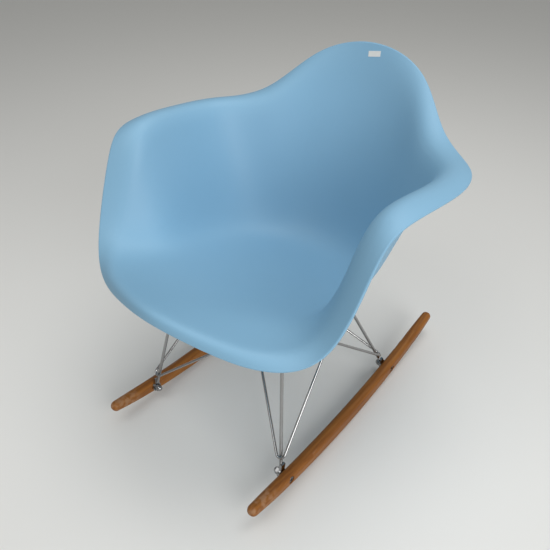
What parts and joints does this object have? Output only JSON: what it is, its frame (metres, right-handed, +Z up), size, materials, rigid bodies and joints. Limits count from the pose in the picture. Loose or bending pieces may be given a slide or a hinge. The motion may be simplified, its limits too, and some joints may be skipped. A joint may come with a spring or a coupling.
{
  "type": "rocking chair",
  "caption": "Armchair with a one-piece moulded plastic bucket shell on a cross-braced steel wire base, standing on two curved wooden rockers.",
  "frame": {"origin": "on the floor, at mid-width, where the rockers touch it when the chair stands at rest", "axes": "+X is the sitter's left, -Y the front (the way the sitter faces), +Y the back, +Z up"},
  "size_m": [0.6331, 0.6772, 0.6799],
  "materials": {
    "shell_plastic": "light blue moulded polypropylene, satin, fine texture",
    "rocker_wood": "honey-brown hardwood with a satin oil finish",
    "wire_chrome": "chrome-plated steel wire and pressings",
    "fastener_steel": "zinc-plated steel",
    "spacer_rubber": "black moulded rubber",
    "insert_brass": "plain machined brass"
  },
  "bodies": {
    "root": {"seat_shell": "shell_plastic", "threaded_insert_left_front": "insert_brass", "threaded_insert_left_rear": "insert_brass", "threaded_insert_right_front": "insert_brass", "threaded_insert_right_rear": "insert_brass", "rubber_spacer_left_front": "spacer_rubber", "rubber_spacer_left_rear": "spacer_rubber", "rubber_spacer_right_front": "spacer_rubber", "rubber_spacer_right_rear": "spacer_rubber", "mount_plate_left_front": "wire_chrome", "mount_plate_left_rear": "wire_chrome", "mount_plate_right_front": "wire_chrome", "mount_plate_right_rear": "wire_chrome", "shell_screws": "fastener_steel", "shell_screw_washers": "fastener_steel", "stem_left_front": "wire_chrome", "stem_left_rear": "wire_chrome", "stem_right_front": "wire_chrome", "stem_right_rear": "wire_chrome", "brace_left_front": "wire_chrome", "brace_left_rear": "wire_chrome", "brace_right_front": "wire_chrome", "brace_right_rear": "wire_chrome", "rocker_left": "rocker_wood", "rocker_right": "rocker_wood", "rocker_bolts": "fastener_steel", "rocker_washers": "fastener_steel", "dome_nuts": "wire_chrome"}
  },
  "joints": []
}
